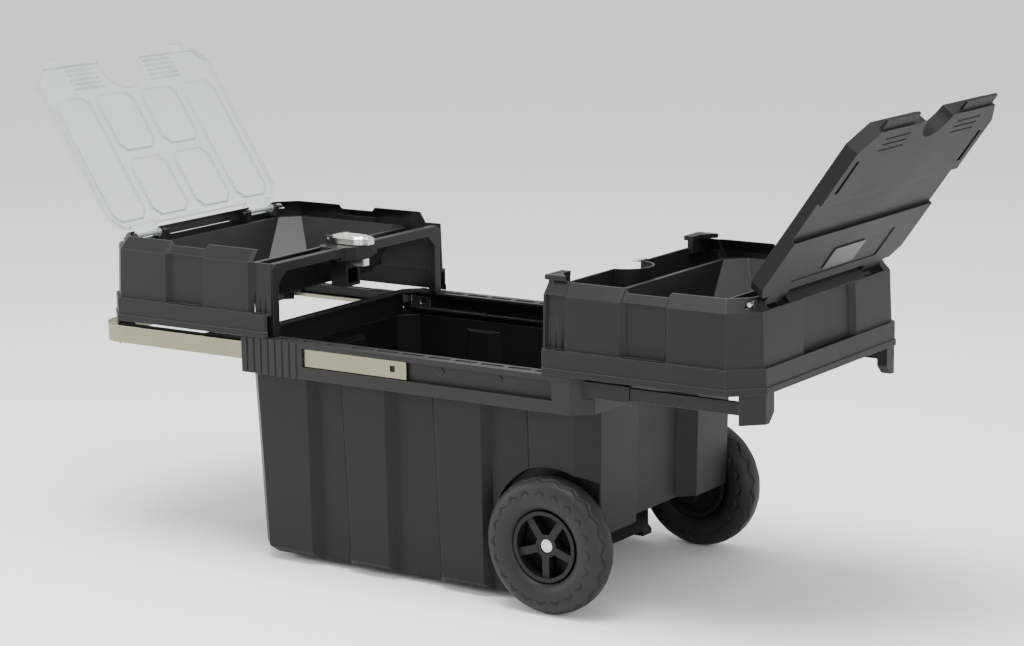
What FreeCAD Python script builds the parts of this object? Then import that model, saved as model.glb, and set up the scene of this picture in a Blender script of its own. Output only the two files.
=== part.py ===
import FreeCAD, Part
import math
import os

V = FreeCAD.Vector

# Rolling tool chest, millimetres.  +X runs along the chest towards the wheels, +Y across it,
# +Z up.  The floor is z = 0 and x = 0, y = 0 is the middle of the bin.
# Every piece is drawn open: trays run out to both ends, lids tipped back on their stops.

# ---------------------------------------------------------------- driving dimensions
WALL = 3.0                      # moulded wall of the bin, collar and trays
FIT = 0.05                      # radial running clearance of pins and axle
GAP = 0.6                       # working gap between pieces that slide past each other

BIN_HALF_L = 279.5              # bin, outside, at its top
BIN_HALF_W = 187.0
BIN_CORNER = 25.5               # flat across each vertical corner
BIN_DRAFT = 7.0                 # how far each wall leans in from top to bottom
BIN_FOOT_Z = 10.0               # underside of the columns
BIN_FLOOR_Z = 18.0              # underside of the floor between them
BIN_BAND_Z = 262.0              # the recesses stop here, below a plain band
BIN_TOP_Z = 278.0
BIN_BAYS = ((-170.0, -110.0), (-41.0, 39.0), (112.0, 186.0))   # side recesses, along X
BIN_BAY_DEPTH = 11.0
BIN_BAY_FLARE = 4.0             # a recess is this much wider each side at the bottom
BIN_END_BAY = (-74.0, 79.0)     # end recess, along Y
BIN_END_BAY_DEPTH = 20.0
BIN_FOOT_INSET = 34.0           # depth of the feet under the columns

WHEEL_R = 89.0
WHEEL_X = 217.5
TYRE_W = 43.0
TYRE_SEAT_R = 46.0
WHEEL_Y = 188.0                 # middle of each tyre
AXLE_R = 6.0
AXLE_HALF = 196.0
WELL_GAP = 10.0                 # radial room round the tyre in its arch
WELL_Y = 160.0                  # inner face of the arch
TUNNEL_X = 150.0                # axle tunnel: front wall and roof
TUNNEL_Z = 100.0
HUB_R = 15.0
HUB_BORE_R = 9.5                # counterbore round the axle end
SPOKES = 5
SPOKE_W = 10.0

RIM_HALF_L = 284.0              # collar round the top of the bin
RIM_HALF_W = 205.5
RIM_CORNER = 23.0
RIM_Z0 = 264.5
RIM_Z1 = 313.0
RIM_SHELF_Z = 272.0             # underside of the channel floor
RIM_OPEN_HALF_W = 180.0         # mouth of the chest, inside the slides
RIM_END_FLANGE = 15.0
WEB_Y = 195.0                   # inner face of the web that the slides are screwed to
WEB_T = 2.5
SLOT_X = (-161.5, 234.5)        # side window
SLOT_Z = (280.5, 306.0)
RIB_COUNT = 8                   # grip ribs beside the window
RIB_PITCH = 12.0
RIB_W = 8.5
RIB_T = 1.4
CELL_COUNT = 12                 # pockets along the collar's top
CELL_L = 33.0
CELL_W = 9.0
CELL_DEPTH = 1.5

RAIL_Z = 297.5                  # mid-height of the slides
RAIL_H = 24.0                   # fixed member
RAIL_D = 13.0
RAIL_T = 1.5
MID_LEN = 200.0
MID_H = 20.0
MID_D = 9.6
INNER_LEN = 270.0
INNER_H = 16.0
INNER_D = 6.4
TRAVEL = 218.0                  # run of each tray
MID_OUT = 339.5                 # outer end of the middle member with its tray out
TIP_LEN = 34.0                  # zinc end of the inner rail
SCREW_X = (-240.0, 60.0, 150.0, 240.0)
SCREW_R = 2.0
SCREW_HEAD_R = 4.5
SCREW_HEAD_T = 1.2

BAND_T = 2.0                    # pull handle band
BAND_H = 24.0
BAND_Y = 201.0                  # middle of the band
BAND_TAIL_X = 7.5               # inner end of each leg
BAND_END_X = -533.0             # far face of the loop
BAND_BEND_R = 45.0

TRAY_IN = 1.0                   # gap from the middle to each tray, closed
TRAY_L = 300.0
SKIRT_HALF_W = 207.0
SKIRT_LIP = 1.5                 # the skirt's lower lip stands out by this much
SKIRT_Z0 = 314.0
SKIRT_LIP_Z = 322.0
SKIRT_Z1 = 345.5
TRAY_CORNER = 36.5
TRAY_STEP = 4.0                 # the wall stands back from the skirt by this much
TRAY_FOLD_Z = 413.0
TRAY_TOP_Z = 429.0
TRAY_DRAFT = 2.5
TRAY_FOLD_IN = 13.0             # how far the wall leans in above the fold
TRAY_BAY = (112.0, 180.0)       # wall recess, measured from the tray's inner end
TRAY_BAY_DEPTH = 6.2
TRAY_DIP = 6.0                  # the top edge is this much lower over a recess
TRAY_INNER_BAY = 34.0           # grooved stretch at the inner end
TRAY_END_BAY = 70.0             # half width of the end recess
LEG_X = 12.0                    # leg thickness along X
LEG_Z0 = 277.0
LEG_Y = (150.0, 193.0)

BOWL_RIM_Z = 407.0
BOWL_Z = 352.0
BOWL_WALL = 2.5
BOWL_HALF_W = 184.6
BOWL_SLOPE = 34.0               # the bowl narrows by this much down to its floor
BOWL_CORNER = 42.0

ARCH_T = 12.0                   # left tray's frame over the chest mouth
ARCH_TOP_Z = 411.0
ARCH_BAR_H = 12.5
ARCH_LEG_W = 13.0
ARCH_CORNER = 16.0

PIN_R = 3.0                     # lid hinge pins
PIN_FROM_END = 21.0             # from the tray's outer end to the hinge pins
PIN_X = TRAY_IN + TRAVEL + TRAY_L - PIN_FROM_END
PIN_HOLE = PIN_R + 1.2          # half the square hole round a pin's end
PIN_Z = 421.5
PIN_Y = (88.0, 176.0)
KNUCKLE_R = 5.8
KNUCKLE_Y = (100.0, 150.0)
LUG_T = 8.0

LID_HALF_W = 183.0
LID_TOP = 5.8                   # top face above the pin's axis, lid shut
LID_HEEL = 14.0                 # from the pin to the lid's body
HEEL_CORNER = 16.0
BLACK_CORNER = 28.0
CLEAR_CORNER = 20.0
LID_LEN = 268.0
BLACK_T = 19.0
BLACK_ANGLE = 126.0
BLACK_STEP = (103.0, 160.0)     # the lower middle band of the top, from the pin
BLACK_STEP_D = 5.0
TAB_OUT = 14.0
TAB_Y = (64.0, 150.0)
CLEAR_TAB_Y = (118.0, 148.0)
CUT_R = 38.0                    # finger cut-out of the black lid
CLEAR_CUT_R = 46.0              # the clear lid's is wider and deeper, round the latch lever
CLEAR_T = 2.5
CLEAR_LIP = 7.0
CLEAR_LEN = 276.0
CLEAR_ANGLE = 123.7

LATCH_X = -256.0                # latch lever's pin
LATCH_Z = 419.5
LATCH_L = 58.0
LATCH_W = 32.0
LATCH_T = 11.0
LATCH_PIN_R = 2.0
LOCK_R = 5.0
HOUSING_Z = 352.0

GROOVES = 3                     # upright grooves at a tray's inner corner
GROOVE_DEPTH = 1.6
INNER_WALL_Z = 420.0            # top of the right tray's inner end wall
BOW_R = 35.5                    # bay in that wall, round the latch
BOW_Z = 356.0
PLATE_OUT = 4.0                 # snap plates over the right tray's inner corners
PLATE_Y = (150.0, 188.0)
BOWL_X0 = 50.0                  # bowl's ends, from the tray's ends
BOWL_X1 = 26.0
FLANGE_X1 = 12.0
FLANGE_HALF_W = 191.0
DIVIDER_FROM_END = 107.0        # from the tray's outer end
DIVIDER_T = 3.0
LID_WALL = 2.5
NUT_T = 2.5

# ---------------------------------------------------------------- small tools
os.makedirs("parts", exist_ok=True)


def save(shape, name):
    """Write one piece as parts/name.step."""
    shape.exportStep("parts/" + name + ".step")
    print(name, "valid", shape.isValid(), "solids", len(shape.Solids), "cm3", round(shape.Volume / 1e3, 1))


def box(x0, x1, y0, y1, z0, z1):
    """A box from its six limits, given in any order."""
    low = V(min(x0, x1), min(y0, y1), min(z0, z1))
    return Part.makeBox(abs(x1 - x0), abs(y1 - y0), abs(z1 - z0), low)


def ring(half_l, half_w, cut, x_mid=0.0):
    """Corner points of a rectangle with its four corners cut off."""
    quarter = ((half_l, half_w - cut), (half_l - cut, half_w))
    points = [quarter[0], quarter[1]]
    points += [(-quarter[1][0], quarter[1][1]), (-quarter[0][0], quarter[0][1])]
    points += [(-quarter[0][0], -quarter[0][1]), (-quarter[1][0], -quarter[1][1])]
    points += [(quarter[1][0], -quarter[1][1]), (quarter[0][0], -quarter[0][1])]
    return [(x + x_mid, y) for x, y in points]


def wire(points, z):
    """A closed flat outline at height z."""
    corners = [V(x, y, z) for x, y in points]
    return Part.makePolygon(corners + corners[:1])


def loft(low, z0, high, z1):
    """A solid with straight sides between two outlines."""
    return Part.makeLoft([wire(low, z0), wire(high, z1)], True, True)


def prism(points, z0, z1):
    """An upright prism."""
    return Part.Face(wire(points, z0)).extrude(V(0, 0, z1 - z0))


def slab(points, y0, y1):
    """A prism lying along Y, from an outline of (x, z) points."""
    corners = [V(x, y0, z) for x, z in points]
    return Part.Face(Part.makePolygon(corners + corners[:1])).extrude(V(0, y1 - y0, 0))


def plank(points, x0, x1):
    """A prism lying along X, from an outline of (y, z) points."""
    corners = [V(x0, y, z) for y, z in points]
    return Part.Face(Part.makePolygon(corners + corners[:1])).extrude(V(x1 - x0, 0, 0))


def rod(x, y0, y1, z, radius):
    """A cylinder along Y."""
    return Part.makeCylinder(radius, abs(y1 - y0), V(x, min(y0, y1), z), V(0, 1, 0))


def fuse(pieces):
    """One solid from touching pieces."""
    whole = pieces[0]
    for piece in pieces[1:]:
        whole = whole.fuse(piece)
    return whole.removeSplitter()


def cut(shape, tools):
    """Take each tool away."""
    for tool in tools:
        shape = shape.cut(tool)
    return shape


def flip_x(shape):
    """The same piece for the other end of the chest."""
    return shape.mirror(V(0, 0, 0), V(1, 0, 0))


def flip_y(shape):
    """The same piece for the other side of the chest."""
    return shape.mirror(V(0, 0, 0), V(0, 1, 0))


def both_sides(shape):
    """A piece and its mirror image across the chest."""
    return [shape, flip_y(shape)]


def bay_side(x0, x1, face0, face1, depth, z0, z1, flare, grow=0.0):
    """Cutter for an upright recess in a wall that faces -Y; face0 and face1 are the wall's
    half widths at z0 and z1.  The recess's sides are cut at 45 degrees."""
    out = 40.0

    def outline(face, spread):
        a = x0 - spread - grow * 0.41
        b = x1 + spread + grow * 0.41
        back = depth + grow
        return [(a - out, -face - out), (b + out, -face - out), (b, -face),
                (b - back, -face + back), (a + back, -face + back), (a, -face)]

    return loft(outline(face0, flare), z0, outline(face1, 0.0), z1)


def bay_end(y0, y1, face0, face1, depth, z0, z1, grow=0.0):
    """The same recess in a wall that faces +X."""
    side = bay_side(y0, y1, face0, face1, depth, z0, z1, 0.0, grow)
    return side.rotate(V(0, 0, 0), V(0, 0, 1), 90)


# ---------------------------------------------------------------- lower bin
WELL_R = WHEEL_R + WELL_GAP
BIN_LOW_L = BIN_HALF_L - BIN_DRAFT
BIN_LOW_W = BIN_HALF_W - BIN_DRAFT
FOOT_BEVEL = BIN_FLOOR_Z - BIN_FOOT_Z


def bin_body(inset, z0, z1):
    """The bin's tapered body, pulled in by inset on every side, between two heights."""
    def half(z, low, top):
        rise = min(1.0, (z - BIN_FLOOR_Z) / (BIN_BAND_Z - BIN_FLOOR_Z))
        return low + (top - low) * rise - inset

    corner = BIN_CORNER - inset * 0.6
    low = ring(half(z0, BIN_LOW_L, BIN_HALF_L), half(z0, BIN_LOW_W, BIN_HALF_W), corner)
    band = ring(BIN_HALF_L - inset, BIN_HALF_W - inset, corner)
    body = loft(low, z0, band, BIN_BAND_Z)
    return body.fuse(prism(band, BIN_BAND_Z, z1))


def bin_bays(grow):
    """Every recess of the bin's walls; grow moves the cutters' faces inwards."""
    z0 = -5.0
    low_w = BIN_HALF_W - BIN_DRAFT * (BIN_BAND_Z - z0) / (BIN_BAND_Z - BIN_FLOOR_Z)
    low_l = BIN_HALF_L - BIN_DRAFT * (BIN_BAND_Z - z0) / (BIN_BAND_Z - BIN_FLOOR_Z)
    z1 = BIN_BAND_Z + grow
    cutters = []
    for x0, x1 in BIN_BAYS:
        side = bay_side(x0, x1, low_w, BIN_HALF_W, BIN_BAY_DEPTH, z0, z1, BIN_BAY_FLARE, grow)
        cutters += both_sides(side)
    y0, y1 = BIN_END_BAY
    end = bay_end(y0, y1, low_l, BIN_HALF_L, BIN_END_BAY_DEPTH, z0, z1, grow)
    return cutters + [end, flip_x(end)]


def wheel_room(grow):
    """The two wheel arches and the axle tunnel between them."""
    arch = rod(WHEEL_X, WELL_Y - grow, RIM_HALF_W + WHEEL_R, WHEEL_R, WELL_R + grow)
    tunnel = box(TUNNEL_X - grow, BIN_HALF_L + WHEEL_R, -RIM_HALF_W, RIM_HALF_W,
                 -WHEEL_R, TUNNEL_Z + grow)
    return both_sides(arch) + [tunnel]


def make_bin():
    foot_low = ring(BIN_LOW_L - FOOT_BEVEL, BIN_LOW_W - FOOT_BEVEL, BIN_CORNER)
    foot_top = ring(BIN_LOW_L, BIN_LOW_W, BIN_CORNER)
    outer = bin_body(0.0, BIN_FLOOR_Z, BIN_TOP_Z).fuse(loft(foot_low, BIN_FOOT_Z, foot_top, BIN_FLOOR_Z))
    outer = cut(outer, bin_bays(0.0) + wheel_room(0.0))
    under = box(BIN_FOOT_INSET - BIN_LOW_L, BIN_LOW_L, BIN_FOOT_INSET - BIN_LOW_W,
                BIN_LOW_W - BIN_FOOT_INSET, 0.0, BIN_FLOOR_Z)
    outer = outer.cut(under)
    inner = bin_body(WALL, BIN_FLOOR_Z + WALL, BIN_TOP_Z + WALL)
    inner = cut(inner, bin_bays(WALL) + wheel_room(WALL))
    shell = outer.cut(inner)
    cheek = slab([(WHEEL_X - 26, TUNNEL_Z + 1), (WHEEL_X + 26, TUNNEL_Z + 1),
                  (WHEEL_X + 13, WHEEL_R - 20), (WHEEL_X - 13, WHEEL_R - 20)], WELL_Y - 12, WELL_Y)
    shell = fuse([shell] + both_sides(cheek))
    return shell.cut(rod(WHEEL_X, -RIM_HALF_W, RIM_HALF_W, WHEEL_R, AXLE_R + FIT))


SKID_X = (-237.5, -195.0)
SKID_Y = (112.0, 142.0)


def make_skids():
    """Two rubber skids under the end away from the wheels, as two solids."""
    block = box(SKID_X[0], SKID_X[1], SKID_Y[0], SKID_Y[1], 0.0, BIN_FLOOR_Z)
    block = block.makeChamfer(3.0, [e for e in block.Edges if e.BoundBox.ZMax < 1.0])
    return Part.makeCompound(both_sides(block))


# ---------------------------------------------------------------- collar
def rim_rail_notch():
    """Room for the slides through both end walls of the collar."""
    z_half = RAIL_H / 2 + GAP
    return box(-RIM_HALF_L - 5, RIM_HALF_L + 5, WEB_Y - RAIL_D - GAP, WEB_Y,
               RAIL_Z - z_half, RAIL_Z + z_half)


def screw_holes():
    """Holes for the slide screws through one web and the slide's fixed member."""
    return fuse([rod(x, -WEB_Y - WEB_T - 1, -WEB_Y + RAIL_T + 1, RAIL_Z, SCREW_R) for x in SCREW_X])


def make_rim():
    outer = ring(RIM_HALF_L, RIM_HALF_W, RIM_CORNER)
    inside = ring(RIM_HALF_L - WALL, RIM_HALF_W - WALL, RIM_CORNER - WALL * 0.6)
    mouth = ring(RIM_HALF_L - RIM_END_FLANGE, RIM_OPEN_HALF_W, 12.0)
    bin_hole = ring(BIN_HALF_L + 0.1, BIN_HALF_W + 0.1, BIN_CORNER)
    wall = prism(outer, RIM_Z0, RIM_Z1).cut(prism(inside, RIM_Z0 - 1, RIM_Z1 + 1))
    flange = prism(outer, RIM_Z1 - WALL, RIM_Z1).cut(prism(mouth, RIM_Z0, RIM_Z1 + 1))
    shelf = prism(outer, RIM_SHELF_Z, RIM_SHELF_Z + WALL).cut(prism(bin_hole, RIM_Z0, RIM_Z1))
    web_x = RIM_HALF_L - WALL / 2
    web = box(-web_x, web_x, WEB_Y, WEB_Y + WEB_T, RIM_SHELF_Z, RIM_Z1 - WALL / 2)
    web = web.common(prism(outer, RIM_Z0, RIM_Z1))
    collar = fuse([wall, flange, shelf] + both_sides(web))
    rib_x0 = SLOT_X[0] - 6 - RIB_COUNT * RIB_PITCH
    ribs = []
    for number in range(RIB_COUNT):
        x = rib_x0 + number * RIB_PITCH
        rib = box(x, x + RIB_W, -RIM_HALF_W - RIB_T, -RIM_HALF_W + 1, RIM_Z0, RIM_Z1)
        ribs += both_sides(rib)
    collar = fuse([collar] + ribs)
    slot = box(SLOT_X[0], SLOT_X[1], -RIM_HALF_W - 5, -RIM_HALF_W + WALL + 0.2, SLOT_Z[0], SLOT_Z[1])
    band_way = box(-RIM_HALF_L - 5, 0, -BAND_Y - BAND_T - GAP, -BAND_Y + BAND_T + GAP,
                   RAIL_Z - 4.5 - BAND_H / 2 - GAP, RAIL_Z - 4.5 + BAND_H / 2 + GAP)
    band_way = band_way.cut(box(-RIM_HALF_L + RIM_CORNER + WALL, 5, -RIM_HALF_W - 5, 0, 0, RIM_Z1))
    cutters = both_sides(screw_holes()) + both_sides(slot)
    cutters += both_sides(band_way) + both_sides(rim_rail_notch())
    cell_pitch = (SLOT_X[1] - SLOT_X[0] + 100) / CELL_COUNT
    for number in range(CELL_COUNT):
        x = SLOT_X[0] - 50 + number * cell_pitch
        cell = box(x, x + CELL_L, -WEB_Y, -WEB_Y + CELL_W, RIM_Z1 - CELL_DEPTH, RIM_Z1 + 1)
        cutters += both_sides(cell)
    return cut(collar, cutters)


# ---------------------------------------------------------------- slides
def channel(x0, x1, depth, height, thick, y_back):
    """A C-shaped rail on the near side, its back at y_back and its mouth facing +Y."""
    body = box(x0, x1, y_back, y_back + depth, RAIL_Z - height / 2, RAIL_Z + height / 2)
    hollow = box(x0 - 1, x1 + 1, y_back + thick, y_back + depth + 1,
                 RAIL_Z - height / 2 + thick, RAIL_Z + height / 2 - thick)
    lips = [box(x0, x1, y_back + depth - thick, y_back + depth,
                RAIL_Z + s * (height / 2 - thick), RAIL_Z + s * (height / 2 - thick * 2.2)) for s in (-1, 1)]
    return fuse([body.cut(hollow)] + lips)


FIXED_HALF = RIM_HALF_L - WALL - 1.0
MID_Y = -WEB_Y + RAIL_T + 0.3
INNER_Y = MID_Y + RAIL_T + 0.3
INNER_OUT = TRAY_IN + TRAVEL + TRAY_L - WALL - LEG_X


def make_mid_rail():
    """Middle member of the +X near slide."""
    body = box(MID_OUT - MID_LEN, MID_OUT, MID_Y, MID_Y + MID_D, RAIL_Z - MID_H / 2, RAIL_Z + MID_H / 2)
    hollow = box(0, MID_OUT + 1, MID_Y + RAIL_T, MID_Y + MID_D + 1,
                 RAIL_Z - MID_H / 2 + RAIL_T, RAIL_Z + MID_H / 2 - RAIL_T)
    return body.cut(hollow)


def make_inner_rail():
    """Inner member of the +X near slide: a shallow channel screwed to the tray's leg."""
    x0 = INNER_OUT - INNER_LEN + TIP_LEN
    body = box(x0, INNER_OUT, INNER_Y, INNER_Y + INNER_D, RAIL_Z - INNER_H / 2, RAIL_Z + INNER_H / 2)
    hollow = box(x0 - 1, INNER_OUT - 30, INNER_Y + RAIL_T, INNER_Y + INNER_D + 1,
                 RAIL_Z - INNER_H / 2 + RAIL_T, RAIL_Z + INNER_H / 2 - RAIL_T)
    return body.cut(hollow).common(leg_clearance())


def make_rail_tip():
    """Zinc end of the inner member, with its long hole."""
    x0 = INNER_OUT - INNER_LEN
    body = box(x0, x0 + TIP_LEN, INNER_Y, INNER_Y + INNER_D, RAIL_Z - INNER_H / 2, RAIL_Z + INNER_H / 2)
    hole = [rod(x0 + s, INNER_Y - 1, INNER_Y + INNER_D + 1, RAIL_Z, 3.5) for s in (9.0, 15.0)]
    hole.append(box(x0 + 9, x0 + 15, INNER_Y - 1, INNER_Y + INNER_D + 1, RAIL_Z - 3.5, RAIL_Z + 3.5))
    return cut(body, hole)


def make_rail_screws():
    """Pan-head screws that hold both fixed members, one solid each."""
    screws = []
    face = -WEB_Y - WEB_T
    for x in SCREW_X:
        head = rod(x, face - SCREW_HEAD_T, face, RAIL_Z, SCREW_HEAD_R)
        shank = rod(x, face, -WEB_Y + RAIL_T, RAIL_Z, SCREW_R)
        screws += both_sides(head.fuse(shank).removeSplitter())
    return Part.makeCompound(screws)


# ---------------------------------------------------------------- pull handle
BAND_Z0 = RAIL_Z - 4.5 - BAND_H / 2
BAND_Z1 = BAND_Z0 + BAND_H
STOP_L = 24.0
STOP_BACK = 30.0


def make_handle():
    """A flat band bent into a long U, its legs standing on edge."""
    def u_outline(offset):
        half = BAND_Y + offset
        end = BAND_END_X - offset
        bend = BAND_BEND_R + offset
        return half, end, bend

    def u_solid(offset):
        half, end, bend = u_outline(offset)
        body = box(end, BAND_TAIL_X, -half, half, BAND_Z0, BAND_Z1)
        edges = [e for e in body.Edges if e.BoundBox.ZLength > BAND_H / 2 and e.BoundBox.XMax < end + 1]
        return body.makeFillet(bend, edges)

    band = u_solid(BAND_T / 2).cut(u_solid(-BAND_T / 2).fuse(
        box(BAND_TAIL_X - 1, BAND_TAIL_X + 1, -BAND_Y + BAND_T / 2, BAND_Y - BAND_T / 2, BAND_Z0, BAND_Z1)))
    hole = box(BAND_TAIL_X - 26, BAND_TAIL_X - 18, -BAND_Y - 3, BAND_Y + 3, RAIL_Z - 7.5, RAIL_Z + 0.5)
    return band.cut(hole)


def make_handle_stop():
    """Nylon block riveted behind the end of the near leg."""
    y0 = -BAND_Y + BAND_T / 2
    x0 = BAND_TAIL_X - STOP_BACK
    return box(x0, x0 + STOP_L, y0, -WEB_Y - WEB_T - 0.3, BAND_Z0 + 1, BAND_Z1 - 1)


# ---------------------------------------------------------------- trays
TRAY_X0 = TRAY_IN + TRAVEL
TRAY_X1 = TRAY_X0 + TRAY_L
TRAY_MID = (TRAY_X0 + TRAY_X1) / 2


def tray_ring(inset):
    """A tray's outline: the outer corners are cut, the inner corners almost square."""
    x0 = TRAY_X0
    x1 = TRAY_X1 - inset
    half = SKIRT_HALF_W - inset
    outer_cut = TRAY_CORNER - inset * 0.6
    inner_cut = 4.0
    return [(x1, half - outer_cut), (x1 - outer_cut, half), (x0 + inner_cut, half), (x0, half - inner_cut),
            (x0, inner_cut - half), (x0 + inner_cut, -half), (x1 - outer_cut, -half), (x1, outer_cut - half)]


def tray_outer():
    """The full outside of a tray: lip, skirt, wall and the part that leans in above the fold."""
    lip = prism(tray_ring(-SKIRT_LIP), SKIRT_Z0, SKIRT_LIP_Z)
    skirt = prism(tray_ring(0.0), SKIRT_LIP_Z, SKIRT_Z1)
    wall = loft(tray_ring(TRAY_STEP), SKIRT_Z1, tray_ring(TRAY_STEP + TRAY_DRAFT), TRAY_FOLD_Z)
    top_inset = TRAY_STEP + TRAY_DRAFT + TRAY_FOLD_IN
    top = loft(tray_ring(TRAY_STEP + TRAY_DRAFT), TRAY_FOLD_Z, tray_ring(top_inset), TRAY_TOP_Z)
    return fuse([lip, skirt, wall, top])


def tray_inner():
    """The space inside a tray's walls."""
    x_back = -6.0

    def shifted(inset):
        return [(x + x_back if x < TRAY_MID else x, y) for x, y in tray_ring(inset)]

    low = prism(shifted(WALL), SKIRT_Z0 - 1, SKIRT_Z1 - WALL)
    wall = loft(shifted(TRAY_STEP + WALL), SKIRT_Z1 - WALL,
                shifted(TRAY_STEP + TRAY_DRAFT + WALL), TRAY_FOLD_Z - 1)
    top_inset = TRAY_STEP + TRAY_DRAFT + TRAY_FOLD_IN + WALL
    top = loft(shifted(TRAY_STEP + TRAY_DRAFT + WALL), TRAY_FOLD_Z - 1, shifted(top_inset), TRAY_TOP_Z + 0.01)
    return fuse([low, wall, top])


def tray_bays(grow):
    """Cutters for the recesses of a tray's walls; grow moves the cutters' faces inwards."""
    face = SKIRT_HALF_W - TRAY_STEP
    fold_face = face - TRAY_DRAFT
    low = SKIRT_Z1 - grow
    cutters = []
    for a, b in (TRAY_BAY, (-60.0, TRAY_INNER_BAY)):
        x0 = TRAY_X0 + a
        x1 = TRAY_X0 + b
        wall = bay_side(x0, x1, face, fold_face, TRAY_BAY_DEPTH, low, TRAY_FOLD_Z, 0.0, grow)
        top = bay_side(x0, x1, fold_face, fold_face - TRAY_FOLD_IN, TRAY_BAY_DEPTH * 0.6,
                       TRAY_FOLD_Z, TRAY_TOP_Z + 1, 0.0, grow)
        cutters += both_sides(wall) + both_sides(top)
    end = TRAY_X1 - TRAY_STEP
    cutters.append(bay_end(-TRAY_END_BAY, TRAY_END_BAY, end, end - TRAY_DRAFT, TRAY_BAY_DEPTH,
                           low, TRAY_FOLD_Z, grow))
    return cutters


def tray_dip():
    """Cutter that lowers the top edge over the side recess, with slanted ends."""
    x0 = TRAY_X0 + TRAY_BAY[0]
    x1 = TRAY_X0 + TRAY_BAY[1]
    z0 = TRAY_TOP_Z - TRAY_DIP
    outline = [(x0, TRAY_TOP_Z + 1), (x0 + TRAY_DIP, z0), (x1 - TRAY_DIP, z0), (x1, TRAY_TOP_Z + 1)]
    return slab(outline, -SKIRT_HALF_W, SKIRT_HALF_W)


def leg_clearance():
    """The collar's outline moved to where it meets the inside of a tray's legs."""
    x_mid = TRAY_X1 - WALL - LEG_X - RIM_HALF_L
    return prism(ring(RIM_HALF_L, RIM_HALF_W, RIM_CORNER, x_mid), 0, SKIRT_Z1)


def tray_leg():
    """The near leg under a tray's outer end, which the inner rail is fixed to.  It follows the
    tray's cut corner outside and clears the collar's cut corner inside when the tray is home."""
    outline = [(-LEG_Y[1], LEG_Z0), (-LEG_Y[0] - 12, LEG_Z0), (-LEG_Y[0], LEG_Z0 + 12),
               (-LEG_Y[0], SKIRT_Z1 - WALL), (-LEG_Y[1], SKIRT_Z1 - WALL)]
    block = plank(outline, TRAY_X1 - TRAY_CORNER, TRAY_X1).common(prism(tray_ring(0.5), 0, TRAY_TOP_Z))
    return block.cut(leg_clearance())


def hinge_lugs():
    """Lugs on the tray's end wall that carry the near hinge pin."""
    wall_x = TRAY_X1 - TRAY_STEP - TRAY_DRAFT - 1
    outline = [(PIN_X - 7, TRAY_FOLD_Z - 4), (PIN_X - 7, PIN_Z + 2), (PIN_X - 3, PIN_Z + 5),
               (PIN_X + 6, PIN_Z + 5), (wall_x, TRAY_FOLD_Z), (wall_x, TRAY_FOLD_Z - 4)]
    return [slab(outline, -y - LUG_T, -y) for y in (PIN_Y[0], KNUCKLE_Y[1] + 1)]


def make_tray_shell():
    """Outer moulding that both trays share, drawn at the +X end with its inner end open."""
    outside = tray_outer()
    arm_way = box(PIN_X - 4, TRAY_X1 + 1, -KNUCKLE_Y[1] - 1, -KNUCKLE_Y[0] + 1,
                  TRAY_FOLD_Z + 1, TRAY_TOP_Z + 1)
    pin_end = box(PIN_X - PIN_HOLE, PIN_X + PIN_HOLE, -SKIRT_HALF_W, -KNUCKLE_Y[1] - LUG_T - 5,
                  PIN_Z - PIN_HOLE, PIN_Z + PIN_HOLE)
    shell = cut(outside, tray_bays(0.0) + both_sides(arm_way) + both_sides(pin_end))
    shell = shell.cut(cut(tray_inner(), tray_bays(WALL)))
    pin_way = rod(PIN_X, -PIN_Y[1] - 30, -PIN_Y[0] + 1, PIN_Z, PIN_R + FIT)
    lugs = []
    for near in hinge_lugs():
        lugs += both_sides(near.common(outside).cut(pin_way))
    shell = fuse([shell] + both_sides(tray_leg()) + lugs)
    grooves = []
    back = -SKIRT_HALF_W + TRAY_STEP + TRAY_BAY_DEPTH + GROOVE_DEPTH
    for number in range(GROOVES):
        x = TRAY_X0 + 7 + number * 9.0
        grooves += both_sides(box(x, x + 3.0, -SKIRT_HALF_W - 5, back, SKIRT_Z1, TRAY_FOLD_Z - 3))
    return cut(shell, grooves + [tray_dip()])


def make_right_shell():
    """Right tray: the shared moulding with an inner end wall, bowed in round the latch."""
    inside = tray_inner().cut(box(0, TRAY_X1, -SKIRT_HALF_W, SKIRT_HALF_W, 0, SKIRT_Z0))
    wall = box(TRAY_X0, TRAY_X0 + WALL, -SKIRT_HALF_W, SKIRT_HALF_W, SKIRT_Z0, INNER_WALL_Z)
    wall = wall.common(inside)
    bow = Part.makeCylinder(BOW_R, INNER_WALL_Z - BOW_Z, V(TRAY_X0, 0, BOW_Z))
    bow_hole = Part.makeCylinder(BOW_R - WALL, INNER_WALL_Z - BOW_Z, V(TRAY_X0, 0, BOW_Z + WALL))
    right_half = box(TRAY_X0, TRAY_X0 + BOW_R, -BOW_R, BOW_R, BOW_Z, INNER_WALL_Z)
    pocket = bow.common(right_half)
    shell = fuse([make_tray_shell(), wall, pocket])
    shell = shell.cut(bow_hole)
    lid_x = PIN_X - LID_LEN - 1.0
    plan = [(TRAY_X0 - PLATE_OUT, -PLATE_Y[1]), (lid_x + 17, -PLATE_Y[1]), (lid_x, 20 - PLATE_Y[1]),
            (lid_x, -PLATE_Y[0]), (TRAY_X0 - PLATE_OUT, -PLATE_Y[0])]
    plates = both_sides(prism(plan, TRAY_TOP_Z + 1, TRAY_TOP_Z + 7))
    foot = box(TRAY_X0 + 1.5, lid_x - 0.7, -PLATE_Y[1], -PLATE_Y[0], INNER_WALL_Z - 8, TRAY_TOP_Z + 1)
    shell = fuse([shell] + plates + both_sides(foot))
    slots = []
    for number in range(3):
        y = -PLATE_Y[1] + 8 + number * 10.0
        slot = box(TRAY_X0 - PLATE_OUT + 4, lid_x - 3, y, y + 4, TRAY_TOP_Z + 3, TRAY_TOP_Z + 8)
        slots += both_sides(slot)
    return cut(shell, slots)


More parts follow.
